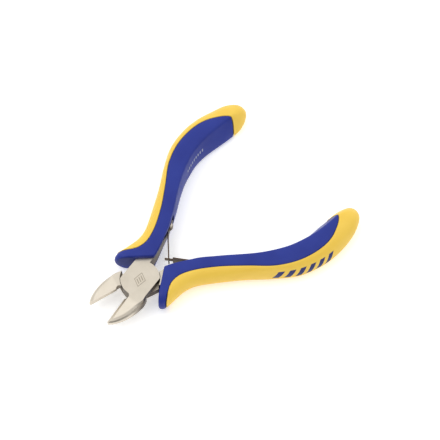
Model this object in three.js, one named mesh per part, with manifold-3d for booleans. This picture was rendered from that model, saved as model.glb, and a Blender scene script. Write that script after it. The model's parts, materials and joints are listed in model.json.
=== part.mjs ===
// Small side-cutting flush cut pliers with two-colour grips and crossed leaf springs.
// Units are millimetres and +Z is up. The pivot stands on the Z axis, the jaws point along -X
// and the handles along +X. Z = 0 is the flat underside of the joint, and the pliers lie on
// the undersides of their grips, which are a little lower.
//
// Each half is drawn in its closed position, with the cutting edges on the line y = 0, the jaw
// below that line and the handle above it. Z = 0 of that drawing is the middle of the joint.
// The upper half is turned open about the pivot. The lower half is the same drawing turned over
// about the X axis, so that its jaw and its handle change sides and its joint plate lies below.

import * as THREE from 'three';
import { mergeVertices } from 'three/addons/utils/BufferGeometryUtils.js';
import Module from 'manifold-3d';

const wasm = await Module();
wasm.setup();

// ---- driving dimensions -------------------------------------------------------------------

const OPENING = 26;                  // degrees between the cutting edges at rest
const JOINT_THICKNESS = 6.2;
const LAP_GAP = 0.12;                // between the two joint plates
const PLATE_RADIUS = 7.9;
const PLATE_FLANK = 6.5;             // half width of the plate between its straight flanks
const SHOULDER_RADIUS = 8.15;        // full thickness starts here, just outside the other plate
const RIVET_RADIUS = 2.4;
const RIVET_HEAD_RADIUS = 3.4;
const RIVET_HEAD_DEPTH = 1.0;
const RUNNING_GAP = 0.05;

const JAW_TIP = -22.3;
const JAW_ROOT = -8.6;               // where the cutting edge starts
const JAW_CORNER = -4.4;             // where the outside of the jaw leaves the plate's flank
const EDGE_GAP = 0.06;               // each cutting edge stops this far from the centre line
const TIP_THICKNESS = 3.0;
const TIP_ROUND = 0.7;
const JAW_ROUNDING = 1.4;            // how far the jaw's back leans in towards its faces
const EDGE_HEIGHT = 2.0;             // of the cutting edges at their root; they fall to 0 at the tip
const UNDER_BEVEL_RISE = 1.4;        // steepness of the bevels under both cutting edges
const UPPER_BEVEL_RISE = 1.0;        // and of the bevels over them, on the upper half
const FLUSH_BEVEL_RISE = 4.4;        // and on the lower half, whose jaw is nearly flush on top
const THROAT_RADIUS = 1.25;
const JAW_LEVELS = [-1.3, -1, -0.8, -0.5, 0.5, 0.8, 1, 1.3];  // shares of the jaw's half thickness
const OVERRUN = 2.0;                 // how far a cutter runs past what it cuts

const GRIP_THICKNESS = 10.4;
const GRIP_LAYERS = 5;               // from the grip's widest outline up to its face
const LAST_LAYER = 84;               // degrees of the section's quarter ellipse at the face
const OUTER_DIVISIONS = 48;
const SEAM_DIVISIONS = 72;
const INNER_DIVISIONS = 18;
const GRIP_GAP = 0.12;               // between tang, core and cover
const CHANNEL_END = 31.5;            // the tang's inner face is bare from the joint to here
const CHANNEL_START = 4.0;
const CHANNEL_DEPTH = 8.0;           // the cut runs this far out past the handle's inner side

const SPRING_WIDTH = 4.0;
const SPRING_THICKNESS = 0.5;
const SPRING_ROOT = [24.0, 3.9];     // where the free blade leaves its base
const SPRING_BASE_ANGLE = 21;        // degrees from +X, along the handle's inner face
const SPRING_BLADE_ANGLE = 37.8;     // degrees from +X, in the closed drawing
const SPRING_BASE_LENGTH = 6.6;
const SPRING_RIVET_AT = 3.6;         // along the base from the root
const SPRING_RIVET_RADIUS = 0.85;
const SPRING_RIVET_LENGTH = 2.2;
const SPRING_RIVET_HEAD = [[1.7, 0], [1.55, 0.35], [0.9, 0.75], [0, 0.9]];  // radius and height
const BLADE_START = 0.35;            // along the blade from the root
const FORK_FROM = 10.0;
const FORK_END = 12.9;
const FORK_SLOT = 2.2;
const TONGUE_FROM = 10.2;
const TONGUE_END = 13.5;
const TONGUE_WIDTH = 1.4;

const HALF_JOINT = JOINT_THICKNESS / 2;
const HALF_GRIP = GRIP_THICKNESS / 2;
const HALF_OPENING = OPENING / 2 * Math.PI / 180;

// ---- outlines in the closed drawing ---------------------------------------------------------

const points = list => list.map(([x, y]) => new THREE.Vector2(x, y));

// From the plate's flank round the outside of the jaw to its tip.
const JAW_BACK = [[-7.2, -7.3], [-10, -7.15], [-13, -6.6], [-16, -5.6], [-18.6, -4.3],
  [-20.7, -2.75], [-21.9, -1.4]];

// The jaw's upper face seen from the side, as x and z: flat by the plate, then down to the tip.
const JAW_SLOPE = [[-7.6, HALF_JOINT], [-9.4, HALF_JOINT - 0.05], [-11.6, HALF_JOINT - 0.3],
  [JAW_TIP, TIP_THICKNESS / 2]];

// The tang's inner side, from the joint outwards, and its outer side on the way back.
const TANG_INNER = [[11, 1.15], [14, 1.65], [19, 2.97], [24, 4.3], [30, 6.57], [36, 9.5],
  [44, 14.0], [52, 17.9], [60, 19.3], [67, 19.6]];
const TANG_OUTER = [[60, 22.7], [52, 21.4], [44, 17.9], [36, 13.2], [30, 10.3], [24, 8.0],
  [18, 6.7], [13, 6.5]];
const TANG_INNER_START = 1.0;
const TANG_AT_CHANNEL_END = 8.6;     // inside the tang, level with the end of the bare part
const TANG_START = 4.0;              // the tang's root, inside the joint plate
const TANG_STRAIGHT = 8.0;
const TANG_END = [67, 21.25];
const TANG_END_RADIUS = 1.65;

// The grip's front face, from the foot of its inner side up to the round end of the guard.
const FRONT_FOOT = [10.7, 0.6];
const FRONT_KNEE = [5.0, 7.5];

// The outer side from the guard round to the handle's tip and a little way back: its widest
// outline at half the grip's thickness, and the outline of the face, point by point.
const OUTER_WIDEST = [[1.5, 12.6], [1.2, 13.7], [1.9, 14.6], [3.4, 14.9], [5.6, 14.5], [9.4, 13.3],
  [14, 12.1], [19, 12.2], [32, 16.8], [39.5, 19.8], [46, 22.9], [57.5, 27.6], [68, 28.4],
  [76, 27.1], [84, 24.1], [89.5, 20.9], [93.1, 16.2], [91.2, 12.4], [86.0, 11.6]];
const OUTER_FACE = [[4.5, 8.3], [4.3, 9.0], [4.9, 9.9], [6.3, 10.3], [7.8, 9.7], [10.6, 8.3],
  [15, 7.4], [20.5, 8.3], [30, 11.8], [40, 16.9], [50, 22.3], [60, 24.75], [70, 24.2],
  [76, 22.1], [80.5, 18.9], [83, 16.3], [84.1, 14.5], [83.6, 14.2], [82.0, 14.5]];

// The inner side on the way back to the foot, in the same two outlines.
const INNER_WIDEST = [[78, 12.9], [70, 14.3], [60, 15.3], [50, 13.5], [40, 9.9], [30, 5.6],
  [20, 2.2], [15, 0.9]];
const INNER_FACE = [[78, 15.2], [70, 16.6], [60, 16.7], [50, 14.6], [40, 10.7], [30, 6.2],
  [20, 2.5], [15, 1.1]];

// The seam between the inner core and the outer cover, from the guard to the handle's tip.
const SEAM = [[2.9, 16.4], [4.3, 14.2], [5.3, 13.1], [6.3, 11.8], [7.4, 10.6], [8.7, 9.3],
  [10.6, 8.2], [15, 7.3], [20.5, 8.2], [30, 11.7], [40, 16.8], [50, 22.2], [60, 24.65],
  [70, 24.1], [76, 22], [80.4, 18.8], [82.9, 16.2], [83.9, 14.2], [83.2, 12.6], [81.5, 11.1],
  [79.2, 9.8]];

// ---- solids ---------------------------------------------------------------------------------

function solidOf(geometry) {
  geometry.deleteAttribute('normal');
  geometry.deleteAttribute('uv');
  const merged = mergeVertices(geometry, 1e-4);
  return new wasm.Manifold(new wasm.Mesh({
    numProp: 3,
    vertProperties: new Float32Array(merged.attributes.position.array),
    triVerts: new Uint32Array(merged.index.array),
  }));
}

function meshOf(name, solid, material) {
  const { vertProperties, triVerts } = solid.getMesh();
  const geometry = new THREE.BufferGeometry();
  geometry.setAttribute('position', new THREE.BufferAttribute(vertProperties, 3));
  geometry.setIndex(new THREE.BufferAttribute(triVerts, 1));
  geometry.computeVertexNormals();
  const mesh = new THREE.Mesh(geometry, material);
  mesh.name = name;
  return mesh;
}

// The normal on the left of an outline at one of its points.
function leftNormal(outline, i, closed = true) {
  const { length } = outline;
  const before = outline[closed ? (i + length - 1) % length : Math.max(i - 1, 0)];
  const after = outline[closed ? (i + 1) % length : Math.min(i + 1, length - 1)];
  const along = after.clone().sub(before).normalize();
  return new THREE.Vector2(-along.y, along.x);
}

// A solid through closed plan outlines with equal numbers of points, from the lowest to the
// highest. Each point is a THREE.Vector3, and the first and last outlines are filled in.
function loft(outlines) {
  const count = outlines[0].length;
  const triangles = [];
  for (let i = 0; i + 1 < outlines.length; i += 1) {
    for (let j = 0; j < count; j += 1) {
      const [here, next] = [i * count + j, i * count + (j + 1) % count];
      triangles.push(here, next, next + count, here, next + count, here + count);
    }
  }
  const last = (outlines.length - 1) * count;
  for (const [a, b, c] of THREE.ShapeUtils.triangulateShape(outlines[0], [])) {
    triangles.push(a, c, b);
  }
  for (const [a, b, c] of THREE.ShapeUtils.triangulateShape(outlines.at(-1), [])) {
    triangles.push(last + a, last + b, last + c);
  }
  const geometry = new THREE.BufferGeometry().setFromPoints(outlines.flat());
  geometry.setIndex(triangles);
  return solidOf(geometry);
}

// A plan outline raised from z = low to z = high, with a divisor for its curves.
function prism(shape, low, high, divisions = 4) {
  const geometry = new THREE.ExtrudeGeometry(shape, {
    depth: high - low, bevelEnabled: false, curveSegments: divisions,
  });
  geometry.translate(0, 0, low);
  return solidOf(geometry);
}

// A turned piece about the Z axis, from its [radius, z] profile with both ends on the axis.
function turned(profile, segments = 48) {
  const geometry = new THREE.LatheGeometry(points(profile), segments);
  geometry.rotateX(Math.PI / 2);
  return solidOf(geometry);
}

function round(radius, low, high, segments = 48) {
  return turned([[0, low], [radius, low], [radius, high], [0, high]], segments);
}

// A flat outline stood on edge: its X runs from a point in plan at an angle, its Y runs up, and
// its thickness lies evenly on both sides of that direction.
function strip(shape, start, angle, thickness) {
  const geometry = new THREE.ExtrudeGeometry(shape, {
    depth: thickness, bevelEnabled: false, curveSegments: 6,
  });
  geometry.translate(0, 0, -thickness / 2);
  geometry.rotateX(Math.PI / 2);
  geometry.rotateZ(angle);
  geometry.translate(start.x, start.y, 0);
  return solidOf(geometry);
}

// ---- steel half -----------------------------------------------------------------------------

function plateShape() {
  const corner = Math.asin(PLATE_FLANK / PLATE_RADIUS);
  const shape = new THREE.Shape();
  shape.absarc(0, 0, PLATE_RADIUS, -corner, corner, false);
  shape.absarc(0, 0, PLATE_RADIUS, Math.PI - corner, Math.PI + corner, false);
  shape.closePath();
  return shape;
}

// The jaw in plan, anticlockwise from the plate, with its back moved in by an inset.
function jawOutline(inset) {
  const back = new THREE.SplineCurve(points([[JAW_CORNER, -PLATE_FLANK], ...JAW_BACK]))
    .getPoints(JAW_BACK.length * 3);
  const tip = new THREE.Path();
  const centre = [JAW_TIP + TIP_ROUND, -TIP_ROUND - EDGE_GAP];
  tip.absarc(...centre, TIP_ROUND, Math.PI, Math.PI / 2, true);
  const moved = back.map((point, i) => {
    const share = Math.min(i / JAW_BACK.length, 1);
    return point.clone().addScaledVector(leftNormal(back, i, false), -inset * share);
  });
  return [...points([[0, -PLATE_FLANK]]), ...moved, ...tip.getPoints(5),
    ...points([[0, -EDGE_GAP]])].reverse();
}

// The jaw gets thinner towards its tip, and its back leans in towards both faces.
function jawBlank() {
  const height = x => THREE.MathUtils.mapLinear(Math.min(x, JAW_ROOT), JAW_ROOT, JAW_TIP,
    HALF_JOINT, TIP_THICKNESS / 2);
  const blank = loft(JAW_LEVELS.map(level => {
    const lean = THREE.MathUtils.clamp(Math.abs(level) * 2 - 1, 0, 1);
    return jawOutline(JAW_ROUNDING * lean * lean)
      .map(point => new THREE.Vector3(point.x, point.y, level * height(point.x)));
  }));
  const under = JAW_SLOPE.map(([x, z]) => [x, -z]).reverse();
  const side = new THREE.Shape(points([[0, HALF_JOINT], ...JAW_SLOPE, ...under, [0, -HALF_JOINT]]));
  return blank.intersect(strip(side, new THREE.Vector2(), 0, PLATE_RADIUS * 2));
}

function tangShape() {
  const shape = new THREE.Shape();
  shape.moveTo(TANG_START, TANG_INNER_START);
  shape.lineTo(TANG_STRAIGHT, TANG_INNER_START);
  shape.splineThru(points(TANG_INNER));
  shape.absarc(...TANG_END, TANG_END_RADIUS, -Math.PI / 2, Math.PI / 2, false);
  shape.splineThru(points(TANG_OUTER));
  shape.lineTo(TANG_START, PLATE_FLANK);
  shape.closePath();
  return shape;
}

// Takes away what lies over (+1) or under (-1) the bevel on one side of the cutting edge, which
// climbs from the tip to the root.
function bevelCutter(rise, side) {
  const length = JAW_ROOT - JAW_TIP;
  const reach = PLATE_FLANK;
  const section = new THREE.Shape(points([[OVERRUN, 0], [-EDGE_GAP, 0],
    [-EDGE_GAP - reach, rise * reach], [OVERRUN, rise * reach]]));
  const geometry = new THREE.ExtrudeGeometry(section, {
    depth: length + OVERRUN, bevelEnabled: false,
  });
  geometry.rotateY(Math.PI / 2);
  geometry.rotateX(Math.PI / 2);
  geometry.translate(-OVERRUN, 0, 0);
  const solid = solidOf(geometry);
  const climb = THREE.MathUtils.radToDeg(Math.atan2(EDGE_HEIGHT, length));
  return (side > 0 ? solid : solid.mirror([0, 0, 1]))
    .rotate([0, -climb, 0]).translate([JAW_TIP, 0, 0]);
}

// One lever. Up is +1 for the upper half and -1 for the lower half, whose drawing is turned over.
function steelHalf(up, topRise) {
  const plate = prism(plateShape(), LAP_GAP / 2, HALF_JOINT, 32);
  const bevels = bevelCutter(topRise, 1).add(bevelCutter(UNDER_BEVEL_RISE, -1));
  const jaw = jawBlank().subtract(up > 0 ? bevels : bevels.mirror([0, 0, 1]));
  const throat = round(THROAT_RADIUS, -JOINT_THICKNESS, JOINT_THICKNESS, 24)
    .translate([JAW_ROOT - THROAT_RADIUS / 2, 0, 0]);
  const tang = prism(tangShape(), -HALF_JOINT, HALF_JOINT, 4);
  const otherPlate = round(SHOULDER_RADIUS, -JOINT_THICKNESS, LAP_GAP / 2, 96);
  return plate.add(jaw.subtract(throat)).add(tang).subtract(otherPlate)
    .subtract(pivotRivet(RUNNING_GAP)).subtract(springRivetHole());
}

// The pivot rivet, ground flush with both faces of the joint. A clearance makes it a cutter.
function pivotRivet(clearance = 0) {
  const end = HALF_JOINT + clearance;
  const foot = HALF_JOINT - RIVET_HEAD_DEPTH;
  const shank = RIVET_RADIUS + clearance;
  const head = RIVET_HEAD_RADIUS + clearance;
  return turned([[0, -end], [head, -end], [shank, -foot], [shank, foot], [head, end], [0, end]]);
}

// ---- grips ----------------------------------------------------------------------------------

// The grip's plan outline at a share of the way from its face's outline out to its widest one.
function gripOutline(share) {
  const blend = (widest, face, count) => {
    const outer = new THREE.SplineCurve(points(widest)).getPoints(count);
    return new THREE.SplineCurve(points(face)).getPoints(count)
      .map((point, i) => point.lerp(outer[i], share));
  };
  return [...blend(OUTER_WIDEST, OUTER_FACE, OUTER_DIVISIONS),
    ...blend(INNER_WIDEST, INNER_FACE, INNER_DIVISIONS), ...points([FRONT_FOOT, FRONT_KNEE])];
}

// Core and cover in one piece, whose section is a half ellipse on its outer side.
function gripBlank() {
  const outlines = [];
  for (let i = -GRIP_LAYERS; i <= GRIP_LAYERS; i += 1) {
    const angle = THREE.MathUtils.degToRad(LAST_LAYER) * i / GRIP_LAYERS;
    const z = HALF_GRIP * Math.sin(angle) / Math.sin(THREE.MathUtils.degToRad(LAST_LAYER));
    outlines.push(gripOutline(Math.cos(angle)).reverse()
      .map(point => new THREE.Vector3(point.x, point.y, z)));
  }
  return loft(outlines);
}

// The plan region on the core's side of the seam, moved outwards by a clearance.
function seamRegion(clearance) {
  const curve = new THREE.SplineCurve(points(SEAM));
  const count = SEAM_DIVISIONS;
  const edge = [];
  for (let i = 0; i <= count; i += 1) {
    const tangent = curve.getTangent(i / count);
    const outward = new THREE.Vector2(-tangent.y, tangent.x).multiplyScalar(clearance);
    edge.push(curve.getPoint(i / count).add(outward));
  }
  const beyond = points([[edge.at(-1).x, -CHANNEL_DEPTH], [JAW_TIP, -CHANNEL_DEPTH],
    [JAW_TIP, edge[0].y]]);
  return prism(new THREE.Shape([...edge, ...beyond]), -GRIP_THICKNESS, GRIP_THICKNESS);
}

// The hollow for the tang, a little larger than it all round.
function tangPocket() {
  const outline = tangShape().extractPoints(4).shape;
  const grown = outline.map((point, i) => (
    leftNormal(outline, i).multiplyScalar(-GRIP_GAP).add(point)));
  return prism(new THREE.Shape(grown), -HALF_JOINT - GRIP_GAP, HALF_JOINT + GRIP_GAP);
}

// The open side of the hollow, where the tang's inner face is bare and carries the spring.
function channel() {
  const shape = new THREE.Shape();
  shape.moveTo(CHANNEL_START, -CHANNEL_DEPTH);
  shape.lineTo(CHANNEL_END, -CHANNEL_DEPTH);
  shape.lineTo(CHANNEL_END, TANG_AT_CHANNEL_END);
  shape.lineTo(CHANNEL_START, TANG_INNER_START);
  shape.closePath();
  return prism(shape, -HALF_JOINT - GRIP_GAP, HALF_JOINT + GRIP_GAP);
}

function gripCore() {
  return gripBlank().intersect(seamRegion(0)).subtract(tangPocket()).subtract(channel());
}

function gripCover() {
  return gripBlank().subtract(seamRegion(GRIP_GAP));
}

// ---- springs --------------------------------------------------------------------------------

const baseAngle = THREE.MathUtils.degToRad(SPRING_BASE_ANGLE);
const bladeAngle = THREE.MathUtils.degToRad(180 + SPRING_BLADE_ANGLE);
const root = new THREE.Vector2(...SPRING_ROOT);
const half = SPRING_WIDTH / 2;

// The base lies along the tang, from the root of the blade outwards to its rounded end.
function springBase() {
  const shape = new THREE.Shape();
  shape.moveTo(0, -half);
  shape.absarc(SPRING_BASE_LENGTH - half, 0, half, -Math.PI / 2, Math.PI / 2, false);
  shape.lineTo(0, half);
  shape.closePath();
  return strip(shape, root, baseAngle, SPRING_THICKNESS).subtract(springRivetHole());
}

function bladeStrip(outline) {
  return strip(new THREE.Shape(points(outline)), root, bladeAngle, SPRING_THICKNESS);
}

// The upper blade ends in a fork, and the lower blade's tongue passes between its prongs.
function forkedBlade() {
  const slot = FORK_SLOT / 2;
  return bladeStrip([[BLADE_START, -half], [FORK_END, -half], [FORK_END, -slot], [FORK_FROM, -slot],
    [FORK_FROM, slot], [FORK_END, slot], [FORK_END, half], [BLADE_START, half]]);
}

function tonguedBlade() {
  const tongue = TONGUE_WIDTH / 2;
  return bladeStrip([[BLADE_START, -half], [TONGUE_FROM, -half], [TONGUE_FROM, -tongue],
    [TONGUE_END, -tongue], [TONGUE_END, tongue], [TONGUE_FROM, tongue], [TONGUE_FROM, half],
    [BLADE_START, half]]);
}

// The spring's rivet: a domed head on the base and a shank that ends in the tang.
function springRivet() {
  const seat = SPRING_THICKNESS / 2 + RUNNING_GAP;
  const head = SPRING_RIVET_HEAD.map(([radius, height]) => [radius, seat + height]);
  const profile = [[0, -SPRING_RIVET_LENGTH], [SPRING_RIVET_RADIUS, -SPRING_RIVET_LENGTH],
    [SPRING_RIVET_RADIUS, seat], ...head];
  return atSpringRivet(turned(profile, 24));
}

// The hole for that shank, which is clear of it all round and past its end.
function springRivetHole() {
  const reach = SPRING_RIVET_LENGTH + RUNNING_GAP;
  return atSpringRivet(round(SPRING_RIVET_RADIUS + RUNNING_GAP, -reach, 1, 24));
}

// Turns a piece that stands on Z so that it points out of the tang's inner face.
function atSpringRivet(solid) {
  const place = new THREE.Vector2(SPRING_RIVET_AT, 0)
    .rotateAround(new THREE.Vector2(), baseAngle).add(root);
  return solid.rotate([90, 0, SPRING_BASE_ANGLE]).translate([place.x, place.y, 0]);
}

// ---- the assembly ---------------------------------------------------------------------------

const steel = { color: 0xd6cdbe, roughness: 0.42, metalness: 0.85 };
const rivetSteel = { color: 0xcfc6b8, roughness: 0.4, metalness: 0.85 };
const springSteel = { color: 0x5a4c42, roughness: 0.45, metalness: 0.8 };
const corePlastic = { color: 0x2d3e9b, roughness: 0.5, metalness: 0 };
const coverRubber = { color: 0xfdd73c, roughness: 0.6, metalness: 0 };

function part(name, solid, look) {
  return meshOf(name, solid, new THREE.MeshStandardMaterial(look));
}

function lever(side, steelPart, blade) {
  const group = new THREE.Group();
  group.add(part(`${side}_lever`, steelPart, steel));
  group.add(part(`${side}_grip_core`, gripCore(), corePlastic));
  group.add(part(`${side}_grip_cover`, gripCover(), coverRubber));
  group.add(part(`${side}_spring_base`, springBase(), springSteel));
  group.add(part(`${side}_spring_blade`, blade, springSteel));
  group.add(part(`${side}_spring_rivet`, springRivet(), rivetSteel));
  return group;
}

const upper = lever('upper', steelHalf(1, UPPER_BEVEL_RISE), forkedBlade());
upper.rotation.z = HALF_OPENING;

const lower = new THREE.Group();
const turnedOver = lever('lower', steelHalf(-1, FLUSH_BEVEL_RISE), tonguedBlade());
turnedOver.rotation.x = Math.PI;
lower.add(turnedOver);
lower.rotation.z = -HALF_OPENING;

const pliers = new THREE.Group();
pliers.add(upper, lower, part('pivot_rivet', pivotRivet(), rivetSteel));
pliers.position.z = HALF_JOINT;

export default pliers;
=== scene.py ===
"""Flush cut pliers: two steel halves on a rivet, two-colour moulded grips and a pair of leaf springs.

The CAD frame places everything. Each half is drawn closed, in millimetres, with the pivot's axis at
the origin, the cutting edges on y = 0, the handle at +y and z = 0 at mid-thickness of the joint.
"""
import json
import math

import bmesh
import bpy
import numpy as np
from mathutils import Matrix, Vector


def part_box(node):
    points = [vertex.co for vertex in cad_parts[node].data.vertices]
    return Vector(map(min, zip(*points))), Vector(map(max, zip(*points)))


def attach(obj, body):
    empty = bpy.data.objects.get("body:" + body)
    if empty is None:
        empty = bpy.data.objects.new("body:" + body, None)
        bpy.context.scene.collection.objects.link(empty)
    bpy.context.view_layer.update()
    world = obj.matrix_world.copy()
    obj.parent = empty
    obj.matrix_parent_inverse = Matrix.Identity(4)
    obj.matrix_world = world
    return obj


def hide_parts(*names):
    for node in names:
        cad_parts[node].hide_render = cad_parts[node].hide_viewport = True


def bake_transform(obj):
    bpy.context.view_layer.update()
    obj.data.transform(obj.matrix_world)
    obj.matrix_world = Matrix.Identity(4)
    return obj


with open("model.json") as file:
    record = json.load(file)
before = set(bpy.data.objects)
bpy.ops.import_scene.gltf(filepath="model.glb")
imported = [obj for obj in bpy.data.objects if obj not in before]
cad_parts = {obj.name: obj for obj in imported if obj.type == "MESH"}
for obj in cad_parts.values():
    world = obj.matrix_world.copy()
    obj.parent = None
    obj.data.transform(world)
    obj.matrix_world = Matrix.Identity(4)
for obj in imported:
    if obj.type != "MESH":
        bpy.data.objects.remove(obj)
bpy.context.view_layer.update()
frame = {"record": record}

MM = 0.001
JOINT = {joint["name"]: joint for joint in frame["record"]["behaviour"]["joints"]}
MID_HEIGHT = JOINT["jaw_pivot"]["pos_m"][2]
HALF_OPENING = math.radians(JOINT["jaw_pivot"]["range_deg"][1] / 2)

# ---- driving dimensions, in millimetres -----------------------------------------------------

GRIP_HALF = (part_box("upper_grip_core")[1].z - MID_HEIGHT) / MM
HORN_START = (5.0, 7.5)        # front face, where the guard's rounded end begins
FOOT = (10.7, 0.6)             # lowest corner of the grip's front face
TOP_RAIL = [(4.5, 8.3), (4.3, 9.0), (4.9, 9.9), (6.3, 10.3), (7.8, 9.7), (10.6, 8.3), (15, 7.4),
            (20.5, 8.3), (30, 11.8), (40, 16.9), (50, 22.3), (60, 24.75), (70, 24.2), (76, 22.1),
            (80.5, 18.9), (83, 16.3), (84.15, 14.7), (84.0, 14.3), (82.8, 14.5)]
MID_RAIL = [(1.5, 12.6), (1.2, 13.7), (1.9, 14.6), (3.4, 14.9), (5.6, 14.5), (9.4, 13.3), (14, 12.1),
            (19, 12.2), (32, 16.8), (39.5, 19.8), (46, 22.9), (57.5, 27.6), (68, 28.4), (76, 27.1),
            (84, 24.1), (89.5, 20.9), (93.2, 16.5), (92.0, 13.2), (87.5, 12.6)]
INNER_TOP = [(80.5, 15.0), (78, 15.6), (74, 16.4), (70, 16.9), (66, 17.1), (60, 16.9), (55, 16.0),
             (50, 14.7), (45, 12.9), (40, 10.7), (35, 8.4), (30, 6.2), (25, 4.0), (20, 2.6), (15, 1.3)]
INNER_SLANT = [3.8, 3.9, 3.6, 3.1, 2.3, 1.5, 1.1, 0.7, 0.4, 0.2, 0.1, -0.2, -0.8, -1.0, -0.9]
INNER_BULGE = [0.3, 0.3, 0.3, 0.3, 0.3, 0.35, 0.4, 0.5, 0.6, 0.6, 0.6, 0.5, 0.2, 0, 0]
SLANT_PROFILE = [(0, 0), (0.25, 0.27), (0.5, 0.58), (0.75, 0.9), (0.85, 0.97), (0.92, 0.93), (1, 0.72)]
OUTER_DRAFT = 0.2              # how much fuller the outer side is low down, along the back half
SEAM = [(2.9, 16.4), (4.3, 14.2), (5.3, 13.1), (6.3, 11.8), (7.4, 10.6), (8.7, 9.3), (10.6, 8.2),
        (12.6, 7.55), (15, 7.3), (20.5, 8.2), (30, 11.7), (40, 16.8), (50, 22.2), (60, 24.65),
        (70, 24.1), (76, 22), (80.4, 18.8), (82.9, 16.2), (83.9, 14.2), (83.2, 12.6), (81.5, 11.1),
        (79.2, 9.8), (76.5, 8.6)]
SEAM_GAP = 0.06
SEAM_LIP = 0.16
EDGE_ROUND = 0.8
CROWN = 0.22
FRONT_STEPS = 8                # straight front face, in the rails and in the finely divided loop
FRONT_POINTS = 80
LOOP_COUNT = 900
SEAM_COUNT = 700
CURVE_STEPS = 24
DRAFT_FROM, DRAFT_TO = 52, 82
CORNER_PASSES = 12             # easing of the outline's corners
BLEND_PASSES = 20              # easing of the rounding's and the slant's changes
LIP_DEPTH = 0.35               # how far down the seam's lip reaches
LIP_FADE = 0.3
POCKET_START = 4.0
POCKET_DEPTH = -8.0
POCKET_HEIGHT = 6.6
CAP_ROWS = 5
SHARP_ANGLE = math.radians(35)
LEAF_SHARP_ANGLE = math.radians(30)
SHOULDER = (12.6, 7.5)         # where the seam has turned from the guard to run along the handle
LEVEL_ANGLES = [0, 14, 28, 41, 52, 60, 66, 71, 75.5, 79.5, 83, 86]

TANG_INNER = [(8, 1.0), (11, 1.15), (14, 1.65), (19, 2.97), (24, 4.3), (30, 6.57), (36, 9.5),
              (44, 14), (52, 17.9), (60, 19.3), (67, 19.6)]
TANG_OUTER = [(68.65, 21.25), (67, 22.9), (60, 22.7), (52, 21.4), (44, 17.9), (36, 13.2), (30, 10.3),
              (24, 8), (18, 6.7), (13, 6.5)]
CHANNEL_END = 31.5
POCKET_CLEARANCE = 0.12
HALF_JOINT = 3.1
JAW_ROOT = -8.6

SPRING_WIDTH = 4.0
SPRING_THICKNESS = 0.5
SPRING_ROOT = Vector((24.0, 3.9))
SPRING_BASE_ANGLE = math.radians(21)
SPRING_BLADE_ANGLE = math.radians(180 + 37.8)
SPRING_BASE_LENGTH = 6.6
FORK_FROM = 10.0
FORK_END = 12.9
FORK_SLOT = 2.2
TONGUE_FROM = 10.2
TONGUE_END = 13.5
TONGUE_WIDTH = 1.4
BEND_LENGTH = 1.6


# ---- places ---------------------------------------------------------------------------------

def placed(side):
    """Closed drawing to row frame, for the upper half (+1) or the lower half (-1)."""
    turn = Matrix.Rotation(side * HALF_OPENING, 4, "Z")
    mirror = Matrix.Diagonal((1, side, 1, 1))
    return Matrix.Translation((0, 0, MID_HEIGHT)) @ turn @ mirror @ Matrix.Scale(MM, 4)


def mesh_object(name, vertices, faces, side, material, crease=SHARP_ANGLE):
    """A smooth-shaded object from a closed drawing's vertices, with its faces pointing out."""
    mesh = bpy.data.meshes.new(name)
    matrix = placed(side)
    mesh.from_pydata([matrix @ Vector(v) for v in vertices], [], faces)
    shape = bmesh.new()
    shape.from_mesh(mesh)
    bmesh.ops.remove_doubles(shape, verts=shape.verts, dist=0.002 * MM)
    bmesh.ops.recalc_face_normals(shape, faces=shape.faces)
    shape.to_mesh(mesh)
    shape.free()
    mesh.shade_smooth()
    mesh.set_sharp_from_angle(angle=crease)
    mesh.materials.append(material)
    piece = bpy.data.objects.new(name, mesh)
    bpy.context.collection.objects.link(piece)
    return piece


# ---- curves ---------------------------------------------------------------------------------

def catmull_rom(rows, chord):
    """A finely divided curve through rows whose ends are already extended, spaced by their chords."""
    dense = []
    for i in range(1, len(rows) - 2):
        t1, t2, t3 = np.cumsum(chord[i - 1:i + 2])
        t = np.linspace(t1, t2, CURVE_STEPS, endpoint=False)[:, None]
        a, b, c, d = rows[i - 1:i + 3]
        ab = a + (b - a) * t / t1
        bc = b + (c - b) * (t - t1) / (t2 - t1)
        cd = c + (d - c) * (t - t2) / (t3 - t2)
        abc = ab + (bc - ab) * t / t2
        bcd = bc + (cd - bc) * (t - t1) / (t3 - t1)
        dense.append(abc + (bcd - abc) * (t - t1) / (t2 - t1))
    dense.append(rows[-2][None, :])
    return np.vstack(dense)


def extended(rows):
    """The rows with one more at each end, straight on from the last two."""
    return np.vstack([2 * rows[0] - rows[1], rows, 2 * rows[-1] - rows[-2]])


def spline(points, count):
    """A centripetal curve through the points, as count evenly spaced points."""
    rows = extended(np.array(points, float))
    chord = np.linalg.norm(np.diff(rows, axis=0), axis=1) ** 0.5
    return resampled(catmull_rom(rows, chord), count)


def resampled(line, count, along=slice(0, 2)):
    """The same line with count points, evenly spaced along its first two coordinates."""
    steps = np.linalg.norm(np.diff(line[:, along], axis=0), axis=1)
    length = np.concatenate([[0], np.cumsum(steps)])
    wanted = np.linspace(0, length[-1], count)
    return np.stack([np.interp(wanted, length, column) for column in line.T], axis=1)


def between(line, start, end, count):
    """The stretch of a line from one fractional index to another, with count points."""
    inner = np.arange(math.ceil(start + 1e-6), math.floor(end - 1e-6) + 1)
    ends = [[np.interp(at, np.arange(len(line)), column) for column in line.T] for at in (start, end)]
    return resampled(np.vstack([ends[0], line[inner], ends[1]]), count)


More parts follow.
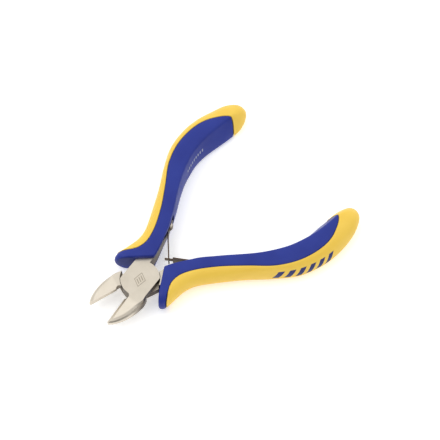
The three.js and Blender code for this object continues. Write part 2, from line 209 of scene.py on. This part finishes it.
def crossing(one, other):
    """Fractional indices of the points where two lines cross."""
    a = one[:-1, None]
    r = np.diff(one, axis=0)[:, None]
    b = other[None, :-1]
    s = np.diff(other, axis=0)[None]
    cross = r[..., 0] * s[..., 1] - r[..., 1] * s[..., 0]
    cross = np.where(np.abs(cross) < 1e-12, 1e-12, cross)
    gap = b - a
    t = (gap[..., 0] * s[..., 1] - gap[..., 1] * s[..., 0]) / cross
    u = (gap[..., 0] * r[..., 1] - gap[..., 1] * r[..., 0]) / cross
    hits = np.argwhere((t >= 0) & (t < 1) & (u >= 0) & (u < 1))
    return sorted((i + t[i, j], j + u[i, j]) for i, j in hits)


def normals(line):
    """Unit vectors to the left of each point of an open line."""
    tangent = np.gradient(line, axis=0)
    tangent /= np.linalg.norm(tangent, axis=1)[:, None]
    return np.stack([-tangent[:, 1], tangent[:, 0]], axis=1)


def softened(line, passes):
    """A closed line with its corners eased."""
    for _ in range(passes):
        line = (np.roll(line, 1, axis=0) + 2 * line + np.roll(line, -1, axis=0)) / 4
    return line


# ---- grips ----------------------------------------------------------------------------------



def rails():
    """Matched top and mid-plane outlines of a grip, and how its section runs between them.

    The columns are top x and y, mid-plane x and y, exponent, share of the edge rounding, slant of
    the inner face and draft of the outer side.
    """
    rows = []
    for i in range(FRONT_STEPS):
        share = i / FRONT_STEPS
        x = FOOT[0] + (HORN_START[0] - FOOT[0]) * share
        y = FOOT[1] + (HORN_START[1] - FOOT[1]) * share
        rows.append((x, y, x, y, 1.0, 1.0, 0, 0))
    tip_slants = {len(TOP_RAIL) - 2: 1.9, len(TOP_RAIL) - 1: 3.4}
    for i, (top, mid) in enumerate(zip(TOP_RAIL, MID_RAIL)):
        inner_share = max(0, i - len(TOP_RAIL) + 4) / 4
        front_share = 1.0 if i == 0 else 0.3 if i == 1 else 0.0
        draft = OUTER_DRAFT if DRAFT_FROM < top[0] < DRAFT_TO else 0
        rows.append((*top, *mid, 0.5 + 0.35 * inner_share, max(inner_share * 0.5, front_share),
                     tip_slants.get(i, 0), draft))
    inward = normals(spline(INNER_TOP, len(INNER_TOP)))
    for top, out, slant, bulge in zip(INNER_TOP, inward, INNER_SLANT, INNER_BULGE):
        mid = np.array(top) + out * bulge
        rows.append((*top, *mid, 1.0, 1.0, slant, 0))
    rows.append((*FOOT, *FOOT, 1.0, 1.0, -0.6, 0))
    return rows


def dense_rails():
    """The rails as one finely divided line, whose corners at the foot stay as they are."""
    rows = np.array(rails(), float)
    front = rows[:FRONT_STEPS + 1]
    curve = spline_rows(rows[FRONT_STEPS:], LOOP_COUNT - FRONT_POINTS)
    straight = np.linspace(front[0], front[-1], FRONT_POINTS, endpoint=False)
    return np.vstack([straight, curve])


def spline_rows(rows, count):
    """A Catmull-Rom curve through rows of matched values, spaced by the mid-plane outline."""
    rows = extended(rows)
    middle = (rows[:, 0:2] + rows[:, 2:4]) / 2
    chord = np.linalg.norm(np.diff(middle, axis=0), axis=1) ** 0.5
    dense = catmull_rom(rows, chord)
    steps = np.linalg.norm(np.diff(dense[:, 2:4], axis=0), axis=1) + 0.02
    length = np.concatenate([[0], np.cumsum(steps)])
    wanted = np.linspace(0, length[-1], count)
    return np.stack([np.interp(wanted, length, column) for column in dense.T], axis=1)


RAILS = dense_rails()
SLANT_CURVE = np.array(SLANT_PROFILE).T
SEAM_LINE = spline(SEAM, SEAM_COUNT)


def outline(z):
    """The grip's closed outline at a height from mid-plane, starting at the foot."""
    level = min(abs(z) / GRIP_HALF, 1.0)
    top, mid = RAILS[:, 0:2], RAILS[:, 2:4]
    share = (1 - level ** 2) ** RAILS[:, 4:5] * (1 - RAILS[:, 7:8] * z / GRIP_HALF)
    line = top + (mid - top) * share
    rise = max(0.0, (abs(z) - (GRIP_HALF - EDGE_ROUND)) / EDGE_ROUND)
    inset = EDGE_ROUND * (1 - math.sqrt(max(0.0, 1 - rise ** 2)))
    line = softened(line, CORNER_PASSES)
    tangent = np.roll(line, -1, axis=0) - np.roll(line, 1, axis=0)
    tangent /= np.maximum(np.linalg.norm(tangent, axis=1), 1e-9)[:, None]
    into = np.stack([tangent[:, 1], -tangent[:, 0]], axis=1)
    rounding = softened(RAILS[:, 5:6], BLEND_PASSES)
    slant = softened(RAILS[:, 6:7], BLEND_PASSES) * np.interp((GRIP_HALF - z) / (2 * GRIP_HALF), *SLANT_CURVE)
    return line + into * (inset * rounding - slant)


FRONT_COUNT = 20
NOSE_COUNT = 12
INNER_COUNT = 90
BODY_COUNT = INNER_COUNT
SHOULDER_COUNT = FRONT_COUNT - NOSE_COUNT + 1
OUTER_COUNT = 120


def seam_stretch(start, end, z, offset):
    """The seam between two crossings, moved sideways so that a groove opens at the surface."""
    away = np.abs(SEAM_LINE[:SEAM_COUNT // 2] - SHOULDER).sum(axis=1)
    body_start = np.argmin(away)
    front = between(SEAM_LINE, start, max(body_start, start + 2), SHOULDER_COUNT)
    body = between(SEAM_LINE, max(body_start, start + 2), end, BODY_COUNT)
    line = np.vstack([front, body[1:]])
    steps = np.concatenate([[0], np.cumsum(np.linalg.norm(np.diff(line, axis=0), axis=1))])
    nearest = np.minimum(steps, steps[-1] - steps)
    top = max(0.0, (abs(z) - (GRIP_HALF - LIP_DEPTH)) / LIP_DEPTH)
    lip = np.maximum(np.exp(-nearest / LIP_FADE), 1 - math.sqrt(max(0.0, 1 - min(top, 1.0) ** 2)))
    return line + normals(line) * (offset * (SEAM_GAP + SEAM_LIP * lip))[:, None]


def grip_rings(z):
    """The core's ring and the cover's ring at one height."""
    loop = outline(z)
    hits = crossing(loop, SEAM_LINE)
    horn, seam_start = hits[0]
    tip, seam_end = hits[-1]
    corner = float(FRONT_POINTS)
    front = between(loop, 0, corner, FRONT_COUNT)
    nose = between(loop, corner, horn, NOSE_COUNT)
    inside = between(loop, tip, len(loop) - 1, INNER_COUNT)
    core_seam = seam_stretch(seam_start, seam_end, z, -1)
    core = np.vstack([front, nose[1:-1], core_seam, inside[1:-1]])
    cover_seam = seam_stretch(seam_start, seam_end, z, 1)
    outside = between(loop, horn, tip, OUTER_COUNT)
    cover = np.vstack([outside[1:-1], cover_seam[::-1]])
    return core, cover


def levels():
    """Heights of the rings, closest where the surface turns over to the top."""
    upper = [GRIP_HALF * math.sin(math.radians(angle)) for angle in LEVEL_ANGLES]
    return [-z for z in upper[:0:-1]] + upper


def loft(rings, heights):
    """Vertices and side faces of rings of equal counts, one above the other."""
    count = len(rings[0])
    vertices = [(x, y, z) for ring, z in zip(rings, heights) for x, y in ring]
    faces = []
    for i in range(len(rings) - 1):
        for j in range(count):
            k = (j + 1) % count
            faces.append((i * count + j, i * count + k, (i + 1) * count + k, (i + 1) * count + j))
    return vertices, faces


def capped(vertices, faces, ring, z, first, left, right, crown, rows):
    """Closes one end of a loft by rungs between two chains of ring indices, with a low crown."""
    grid = []
    for a, b in zip(left, right):
        rung = [first + a]
        for step in range(1, rows):
            v = step / rows
            x, y = ring[a] + (ring[b] - ring[a]) * v
            span = np.linalg.norm(ring[b] - ring[a])
            rise = crown * min(1.0, span / 6) * (1 - (2 * v - 1) ** 2)
            rung.append(len(vertices))
            vertices.append((x, y, z + math.copysign(rise, z)))
        rung.append(first + b)
        grid.append(rung)
    for lower, upper in zip(grid, grid[1:]):
        for j in range(rows):
            face = [lower[j], lower[j + 1], upper[j + 1], upper[j]]
            face = [v for n, v in enumerate(face) if v not in face[:n]]
            if len(face) > 2:
                faces.append(tuple(face))


def core_chains(count):
    """The core ring's two sides: inner face and front, against the seam and the guard's nose."""
    front = list(range(FRONT_COUNT))
    nose = list(range(FRONT_COUNT, FRONT_COUNT + NOSE_COUNT - 2))
    seam_first = nose[-1] + 1
    seam = list(range(seam_first, seam_first + SHOULDER_COUNT + BODY_COUNT - 1))
    inside = list(range(seam[-1] + 1, count))
    left = [seam[-1]] + inside + front
    right = seam[::-1] + nose[::-1]
    size = max(len(left), len(right))
    pick = lambda chain: [chain[round(i * (len(chain) - 1) / (size - 1))] for i in range(size)]
    return pick(left), pick(right)


def cover_chains(count):
    """The cover ring's two sides: its outer face against the seam."""
    outer = list(range(OUTER_COUNT - 2))
    seam = list(range(count - 1, OUTER_COUNT - 3, -1))
    size = max(len(outer), len(seam))
    pick = lambda chain: [chain[round(i * (len(chain) - 1) / (size - 1))] for i in range(size)]
    return pick(outer), pick(seam)


def grip_solids():
    """Core and cover of one grip, as vertices and faces in the closed drawing."""
    heights = levels()
    pairs = [grip_rings(z) for z in heights]
    solids = []
    for index, chains, crown in ((0, core_chains, CROWN), (1, cover_chains, 0.0)):
        rings = [pair[index] for pair in pairs]
        vertices, faces = loft(rings, heights)
        count = len(rings[0])
        left, right = chains(count)
        rows = CAP_ROWS if index == 0 else 1
        capped(vertices, faces, rings[0], heights[0], 0, left, right, crown, rows)
        last = count * (len(rings) - 1)
        capped(vertices, faces, rings[-1], heights[-1], last, left, right, crown, rows)
        solids.append((vertices, faces))
    return solids


def pocket_cutter(side, material):
    """What the core leaves free for the tang, open on the inner side as far as the channel's end."""
    outer = spline(TANG_OUTER, 60)
    outer = outer - normals(outer) * POCKET_CLEARANCE
    hidden = spline(TANG_INNER, 60)
    hidden = hidden - normals(hidden) * POCKET_CLEARANCE
    hidden = hidden[hidden[:, 0] > CHANNEL_END]
    opening = [(POCKET_START, POCKET_DEPTH), (CHANNEL_END, POCKET_DEPTH),
               (CHANNEL_END, hidden[0][1])]
    ring = np.vstack([opening, hidden, outer, [(POCKET_START, POCKET_HEIGHT)]])
    reach = HALF_JOINT + POCKET_CLEARANCE
    vertices, faces = loft([ring, ring], [-reach, reach])
    count = len(ring)
    faces.append(tuple(range(count)))
    faces.append(tuple(range(count, 2 * count)))
    return mesh_object("pocket_cutter", vertices, faces, side, material)


def cut(piece, cutter):
    """Takes the cutter away from the piece's mesh for good."""
    modifier = piece.modifiers.new("pocket", "BOOLEAN")
    modifier.operation = "DIFFERENCE"
    modifier.solver = "EXACT"
    modifier.object = cutter
    bpy.context.view_layer.update()
    evaluated = piece.evaluated_get(bpy.context.evaluated_depsgraph_get())
    mesh = bpy.data.meshes.new_from_object(evaluated)
    piece.modifiers.clear()
    piece.data = mesh
    mesh.set_sharp_from_angle(angle=SHARP_ANGLE)
    bpy.data.objects.remove(cutter)


# ---- materials ------------------------------------------------------------------------------

class Nodes:
    """A material's node tree, with short calls for what the materials below share."""

    def __init__(self, name):
        self.material = bpy.data.materials.new(name)
        self.material.use_nodes = True
        self.tree = self.material.node_tree
        self.shader = self.tree.nodes["Principled BSDF"]
        self.place = self.add("ShaderNodeTexCoord").outputs["Object"]

    def add(self, kind, **values):
        node = self.tree.nodes.new(kind)
        for key, value in values.items():
            if hasattr(node, key):
                setattr(node, key, value)
            else:
                node.inputs[key.replace("_", " ")].default_value = value
        return node

    def link(self, output, target):
        self.tree.links.new(output, target)

    def noise(self, scale, detail=3.0, stretch=None):
        node = self.add("ShaderNodeTexNoise")
        node.inputs["Scale"].default_value = scale
        node.inputs["Detail"].default_value = detail
        source = self.place
        if stretch:
            mapping = self.add("ShaderNodeMapping")
            mapping.inputs["Scale"].default_value = stretch
            self.link(source, mapping.inputs["Vector"])
            source = mapping.outputs["Vector"]
        self.link(source, node.inputs["Vector"])
        return node.outputs["Fac"]

    def ramp(self, factor, stops):
        node = self.add("ShaderNodeValToRGB")
        ramp = node.color_ramp
        while len(ramp.elements) < len(stops):
            ramp.elements.new(0.5)
        for element, (position, colour) in zip(ramp.elements, stops):
            element.position = position
            element.color = (*colour, 1) if len(colour) == 3 else colour
        self.link(factor, node.inputs["Fac"])
        return node.outputs["Color"]

    def math(self, operation, *values):
        node = self.add("ShaderNodeMath", operation=operation)
        for socket, value in zip(node.inputs, values):
            if isinstance(value, (int, float)):
                socket.default_value = value
            else:
                self.link(value, socket)
        return node.outputs[0]

    def axis(self, vector, letter):
        node = self.add("ShaderNodeSeparateXYZ")
        self.link(vector, node.inputs[0])
        return node.outputs[letter]

    def normal(self):
        return self.add("ShaderNodeNewGeometry").outputs["Normal"]

    def mix(self, factor, first, second):
        node = self.add("ShaderNodeMix", data_type="RGBA")
        self.link(factor, node.inputs[0])
        self.link(first, node.inputs[6])
        self.link(second, node.inputs[7])
        return node.outputs[2]

    def window(self, value, low, high):
        """1 where the value lies between two limits and 0 elsewhere."""
        above = self.math("GREATER_THAN", value, low)
        below = self.math("LESS_THAN", value, high)
        return self.math("MULTIPLY", above, below)

    def bump(self, height, strength, distance, normal=None):
        node = self.add("ShaderNodeBump")
        node.inputs["Strength"].default_value = strength
        node.inputs["Distance"].default_value = distance
        self.link(height, node.inputs["Height"])
        if normal:
            self.link(normal, node.inputs["Normal"])
        return node.outputs["Normal"]


def linear(r, g, b):
    """A display colour from 0 to 255 as the shader's linear values."""
    channel = lambda c: c / 12.92 if c <= 0.04045 else ((c + 0.055) / 1.055) ** 2.4
    return tuple(channel(value / 255) for value in (r, g, b))


def printed(nodes, colour, side, bars):
    """The colour with a row of plain slanted bars printed over it, at a place along the handle."""
    turn = nodes.add("ShaderNodeVectorRotate", rotation_type="Z_AXIS")
    turn.inputs["Angle"].default_value = -side * HALF_OPENING
    nodes.link(nodes.place, turn.inputs["Vector"])
    along = nodes.axis(turn.outputs["Vector"], "X")
    height = nodes.math("SUBTRACT", nodes.axis(nodes.place, "Z"), MID_HEIGHT)
    leaned = nodes.math("SUBTRACT", along, nodes.math("MULTIPLY", height, bars["lean"]))
    phase = nodes.math("FRACT", nodes.math("DIVIDE", leaned, bars["pitch"] * MM))
    bar = nodes.window(phase, 0.0, bars["share"])
    patch = nodes.math("MULTIPLY", nodes.window(leaned, *(v * MM for v in bars["along"])),
                       nodes.window(height, *(v * MM for v in bars["height"])))
    ink = nodes.add("ShaderNodeRGB")
    ink.outputs[0].default_value = (*bars["ink"], 1)
    return nodes.mix(nodes.math("MULTIPLY", bar, patch), colour, ink.outputs[0])


def grip_material(name, base, deep, roughness, side=0, bars=None):
    """Soft moulded plastic: a faint cloudiness in colour and gloss, and a fine spark texture."""
    nodes = Nodes(name)
    cloud = nodes.noise(90, 4)
    colour = nodes.ramp(cloud, [(0.3, deep), (0.7, base)])
    if bars:
        colour = printed(nodes, colour, side, bars)
    nodes.link(colour, nodes.shader.inputs["Base Color"])
    gloss = nodes.ramp(nodes.noise(240, 3), [(0.3, (roughness - 0.06,) * 3),
                                             (0.7, (roughness + 0.07,) * 3)])
    nodes.link(gloss, nodes.shader.inputs["Roughness"])
    grain = nodes.bump(nodes.noise(2600, 3), 0.35, 0.00003)
    nodes.link(grain, nodes.shader.inputs["Normal"])
    nodes.shader.inputs["Specular IOR Level"].default_value = 0.3
    return nodes.material


def steel_material(name, base, deep, roughness, stretch):
    """Satin plated steel: fine polishing lines, cloudy gloss, a slight warmth in the colour, and painted
    shade on steep walls.
    """
    nodes = Nodes(name)
    lines = nodes.noise(900, 3, stretch)
    cloud = nodes.noise(160, 4)
    ground = nodes.ramp(cloud, [(0.3, deep), (0.7, base)])
    # painted shade: away from the jaws, steep side walls take a darker brown, as if they lay in shadow
    painted_wall_shade = nodes.ramp(cloud, [(0.3, SHADED_WALL_DEEP), (0.7, SHADED_WALL_BASE)])
    flatness = nodes.math("ABSOLUTE", nodes.axis(nodes.normal(), "Z"))
    flat = nodes.ramp(flatness, [(0.25, (0, 0, 0)), (0.8, (1, 1, 1))])
    along = nodes.math("DIVIDE", nodes.axis(nodes.place, "X"), 2 * JAW_ROOT * MM)
    in_jaws = nodes.ramp(along, [(0.42, (0, 0, 0)), (0.75, (1, 1, 1))])
    colour = nodes.mix(nodes.math("MAXIMUM", flat, in_jaws), painted_wall_shade, ground)
    nodes.link(colour, nodes.shader.inputs["Base Color"])
    gloss = nodes.ramp(lines, [(0.3, (roughness - 0.07,) * 3), (0.7, (roughness + 0.09,) * 3)])
    nodes.link(gloss, nodes.shader.inputs["Roughness"])
    nodes.link(nodes.bump(lines, 0.25, 0.00002), nodes.shader.inputs["Normal"])
    nodes.shader.inputs["Metallic"].default_value = 1.0
    return nodes.material


# painted shade: darker colours that the steel's steep side walls take in place of the plain steel
SHADED_WALL_BASE = linear(112, 100, 86)
SHADED_WALL_DEEP = linear(84, 74, 64)
COVER_BARS = {"along": (47, 73), "height": (-1.8, 2.6), "pitch": 4.4, "share": 0.55, "lean": 0.6,
              "ink": linear(30, 44, 110)}
CORE_BARS = {"along": (52, 66), "height": (0.3, 1.5), "pitch": 1.5, "share": 0.5, "lean": 0.2,
             "ink": linear(150, 156, 180)}
BLUE = (linear(38, 56, 150), linear(32, 48, 140), 0.45)
YELLOW = (linear(254, 214, 90), linear(250, 207, 80), 0.42)
blue = {1: grip_material("grip_blue_printed", *BLUE, 1, CORE_BARS), -1: grip_material("grip_blue", *BLUE)}
yellow = {1: grip_material("grip_yellow", *YELLOW),
          -1: grip_material("grip_yellow_printed", *YELLOW, -1, COVER_BARS)}
steel = steel_material("satin_steel", linear(222, 213, 198), linear(212, 203, 187), 0.36, (1, 8, 1))
rivet_steel = steel_material("rivet_steel", linear(222, 213, 198), linear(212, 203, 187), 0.36,
                             (4, 4, 1))
stamp_steel = steel_material("stamp_steel", linear(186, 175, 158), linear(170, 160, 144), 0.5, (4, 4, 1))
spring_steel = steel_material("spring_steel", linear(104, 88, 76), linear(80, 66, 56), 0.36,
                              (1, 1, 9))


# ---- springs --------------------------------------------------------------------------------

def leaf_path():
    """Directions of the leaf's centre line: the base along the handle, and the blade beyond the bend at the
    root.
    """
    base = Vector((math.cos(SPRING_BASE_ANGLE), math.sin(SPRING_BASE_ANGLE)))
    blade = Vector((math.cos(SPRING_BLADE_ANGLE), math.sin(SPRING_BLADE_ANGLE)))
    return base, blade


def leaf_centre(distance):
    """A point of the leaf at a distance from the root: negative on the base, positive on the blade."""
    base, blade = leaf_path()
    if distance <= -BEND_LENGTH:
        return SPRING_ROOT - base * distance
    if distance >= BEND_LENGTH:
        return SPRING_ROOT + blade * distance
    t = (distance + BEND_LENGTH) / (2 * BEND_LENGTH)
    start = SPRING_ROOT + base * BEND_LENGTH
    end = SPRING_ROOT + blade * BEND_LENGTH
    return (1 - t) ** 2 * start + 2 * t * (1 - t) * SPRING_ROOT + t ** 2 * end


def leaf_strip(low, high, start, end, count):
    """One strip of the leaf between two heights, from one distance to another."""
    rows = []
    for i in range(count + 1):
        at = start + (end - start) * i / count
        step = 0.05
        centre = leaf_centre(at)
        ahead = leaf_centre(at + step) - leaf_centre(at - step)
        normal = Vector((-ahead.y, ahead.x)).normalized() * SPRING_THICKNESS / 2
        z_low, z_high = (low(at), high(at))
        for sign, z in ((-1, z_low), (1, z_low), (1, z_high), (-1, z_high)):
            rows.append((centre.x + sign * normal.x, centre.y + sign * normal.y, z))
    faces = [(0, 1, 2, 3), tuple(len(rows) - 4 + k for k in range(4))]
    for i in range(count):
        for k in range(4):
            n = (k + 1) % 4
            faces.append((4 * i + k, 4 * i + n, 4 * i + 4 + n, 4 * i + 4 + k))
    return rows, faces


def leaf_spring(name, side, forked):
    """One bent leaf, whose free end is a fork or a tongue."""
    half = SPRING_WIDTH / 2
    end_centre = -(SPRING_BASE_LENGTH - half)

    def edge(at):
        if at >= end_centre:
            return half
        return math.sqrt(max(0.0, half ** 2 - (at - end_centre) ** 2)) + 0.01

    shoulder = FORK_FROM if forked else TONGUE_FROM
    strips = [(lambda at: -edge(at), edge, -SPRING_BASE_LENGTH, shoulder, 44)]
    if forked:
        slot = FORK_SLOT / 2
        strips.append((lambda at: slot, lambda at: half, shoulder, FORK_END, 8))
        strips.append((lambda at: -half, lambda at: -slot, shoulder, FORK_END, 8))
    else:
        width = TONGUE_WIDTH / 2
        strips.append((lambda at: -width, lambda at: width, shoulder, TONGUE_END, 8))
    vertices, faces = [], []
    for strip in strips:
        rows, quads = leaf_strip(*strip)
        faces += [tuple(v + len(vertices) for v in quad) for quad in quads]
        vertices += rows
    return mesh_object(name, vertices, faces, side, spring_steel, LEAF_SHARP_ANGLE)


def add_springs():
    for half_name, side, forked in (("upper", 1, True), ("lower", -1, False)):
        leaf = leaf_spring(half_name + "_leaf_spring", side, forked)
        base, blade = leaf_path()
        start = placed(side) @ Vector((*(SPRING_ROOT + base * BEND_LENGTH), 0))
        end = placed(side) @ Vector((*(SPRING_ROOT + blade * BEND_LENGTH), 0))
        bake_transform(leaf)
        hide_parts(half_name + "_spring_base", half_name + "_spring_blade")


def add_grips():
    (core_vertices, core_faces), (cover_vertices, cover_faces) = grip_solids()
    for half_name, side in (("upper", 1), ("lower", -1)):
        core = mesh_object(half_name + "_grip_blue", core_vertices, core_faces, side, blue[side])
        cut(core, pocket_cutter(side, blue[side]))
        cover = mesh_object(half_name + "_grip_yellow", cover_vertices, cover_faces, side, yellow[side])
        for piece, node, slot in ((core, "_grip_core", "grip_core"), (cover, "_grip_cover", "grip_cover")):
            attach(piece, half_name + "_half")
            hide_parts(half_name + node)


def finish_steel():
    """Materials and small edge bevels for the steel pieces that the CAD already shapes."""
    looks = {"upper_lever": steel, "lower_lever": steel, "pivot_rivet": rivet_steel,
             "upper_spring_rivet": rivet_steel, "lower_spring_rivet": rivet_steel}
    for node, material in looks.items():
        piece = bpy.data.objects[node]
        for slot in piece.material_slots:
            slot.material = material
        bevel = piece.modifiers.new("edges", "BEVEL")
        bevel.width = 0.15 * MM
        bevel.segments = 2
        bevel.limit_method = "ANGLE"
        bevel.angle_limit = math.radians(32)


# The stamp on the joint is a plain ornament: a slanted frame round three even stripes.
MARK_CENTRE = Vector((-0.6, -0.4))
MARK_TURN = math.radians(-12)
MARK_DEPTH = 0.03
MARK_HALF = (2.1, 1.9)
MARK_LINE = 0.3
MARK_SLANT = 0.35
MARK_STRIPES = (-1.05, 0.0, 1.05)
STRIPE_HALF = (0.25, 1.1)


def mark_shapes():
    """The frame's four sides and the stripes inside it, as slanted four-cornered tiles."""
    width, height = MARK_HALF
    inner = height - MARK_LINE
    boxes = [(-width, -height, width, -inner), (-width, inner, width, height),
             (-width, -inner, -width + MARK_LINE, inner), (width - MARK_LINE, -inner, width, inner)]
    for x in MARK_STRIPES:
        boxes.append((x - STRIPE_HALF[0], -STRIPE_HALF[1], x + STRIPE_HALF[0], STRIPE_HALF[1]))
    for x0, y0, x1, y1 in boxes:
        corners = [(x0, y0), (x1, y0), (x1, y1), (x0, y1)]
        yield [(x + y * MARK_SLANT, y) for x, y in corners]


def add_mark():
    """Thin darker tiles let into the upper plate's face and across the end of the rivet in it."""
    vertices, faces = [], []
    cosine, sine = math.cos(MARK_TURN), math.sin(MARK_TURN)
    for shape in mark_shapes():
        ring = [(MARK_CENTRE.x + x * cosine - y * sine, MARK_CENTRE.y + x * sine + y * cosine)
                for x, y in shape]
        heights = [HALF_JOINT - MARK_DEPTH, HALF_JOINT + MARK_DEPTH / 2]
        rows, sides = loft([ring, ring], heights)
        count = len(ring)
        sides += [tuple(range(count)), tuple(range(count, 2 * count))]
        faces += [tuple(v + len(vertices) for v in face) for face in sides]
        vertices += rows
    stamp = mesh_object("joint_stamp", vertices, faces, 1, stamp_steel)
    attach(stamp, "upper_half")


# ---- camera, light and floor ----------------------------------------------------------------

CAMERA_AZIMUTH = math.radians(-41.91)
CAMERA_ELEVATION = math.radians(59.94)
CAMERA_DISTANCE = 0.5174
CAMERA_LENS = 103.77
BRIGHT_SIDE = Vector((0.3, 0.35, 0.89))
CAMERA_TARGET = Vector((0.04083, -0.00233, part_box("upper_grip_core")[1].z))


def add_camera():
    flat = math.cos(CAMERA_ELEVATION)
    back = Vector((math.sin(CAMERA_AZIMUTH) * flat, -math.cos(CAMERA_AZIMUTH) * flat,
                   math.sin(CAMERA_ELEVATION)))
    data = bpy.data.cameras.new("camera")
    data.lens = CAMERA_LENS
    data.sensor_width = 36.0
    camera = bpy.data.objects.new("camera", data)
    camera.location = CAMERA_TARGET + back * CAMERA_DISTANCE
    camera.rotation_mode = "QUATERNION"
    camera.rotation_quaternion = (-back).to_track_quat("-Z", "Y")
    bpy.context.collection.objects.link(camera)
    bpy.context.scene.camera = camera


def add_area_light(name, location, size, power):
    data = bpy.data.lights.new(name, "AREA")
    data.shape = "DISK"
    data.size = size
    data.energy = power
    light = bpy.data.objects.new(name, data)
    light.location = location
    light.rotation_mode = "QUATERNION"
    light.rotation_quaternion = (-Vector(location)).to_track_quat("-Z", "Y")
    bpy.context.collection.objects.link(light)


def add_world():
    """A white studio, brightest overhead and behind the pliers, dim low down at the near side."""
    world = bpy.data.worlds.new("studio")
    world.use_nodes = True
    nodes, links = world.node_tree.nodes, world.node_tree.links
    place = nodes.new("ShaderNodeTexCoord")
    away = nodes.new("ShaderNodeVectorMath")
    away.operation = "DOT_PRODUCT"
    away.inputs[1].default_value = BRIGHT_SIDE
    tone = nodes.new("ShaderNodeMapRange")
    for socket, value in (("From Min", -0.3), ("From Max", 0.75), ("To Min", 0.1), ("To Max", 1.0)):
        tone.inputs[socket].default_value = value
    links.new(place.outputs["Generated"], away.inputs[0])
    links.new(away.outputs["Value"], tone.inputs["Value"])
    links.new(tone.outputs["Result"], nodes["Background"].inputs["Strength"])
    nodes["Background"].inputs["Color"].default_value = (1, 1, 1, 1)
    bpy.context.scene.world = world


def add_floor():
    reach = 3.0
    mesh = bpy.data.meshes.new("floor")
    corners = [(-reach, -reach, 0), (reach, -reach, 0), (reach, reach, 0), (-reach, reach, 0)]
    mesh.from_pydata(corners, [], [(0, 1, 2, 3)])
    floor = bpy.data.objects.new("floor", mesh)
    floor.location.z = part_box("upper_grip_core")[0].z - CROWN * MM
    bpy.context.collection.objects.link(floor)
    nodes = Nodes("floor")
    nodes.shader.inputs["Roughness"].default_value = 0.9
    tone = nodes.ramp(nodes.noise(3, 2), [(0.0, (0.88, 0.88, 0.88)), (1.0, (0.9, 0.9, 0.9))])
    nodes.link(tone, nodes.shader.inputs["Base Color"])
    nodes.link(tone, nodes.shader.inputs["Emission Color"])
    nodes.shader.inputs["Emission Strength"].default_value = 0.45
    mesh.materials.append(nodes.material)


bpy.context.scene.view_settings.view_transform = "Standard"
add_camera()
add_world()
add_area_light("key", (-0.35, 0.25, 0.75), 0.6, 1.2)
add_area_light("fill", (0.55, -0.35, 0.6), 0.8, 0.5)
add_floor()
add_grips()
add_springs()
finish_steel()
add_mark()
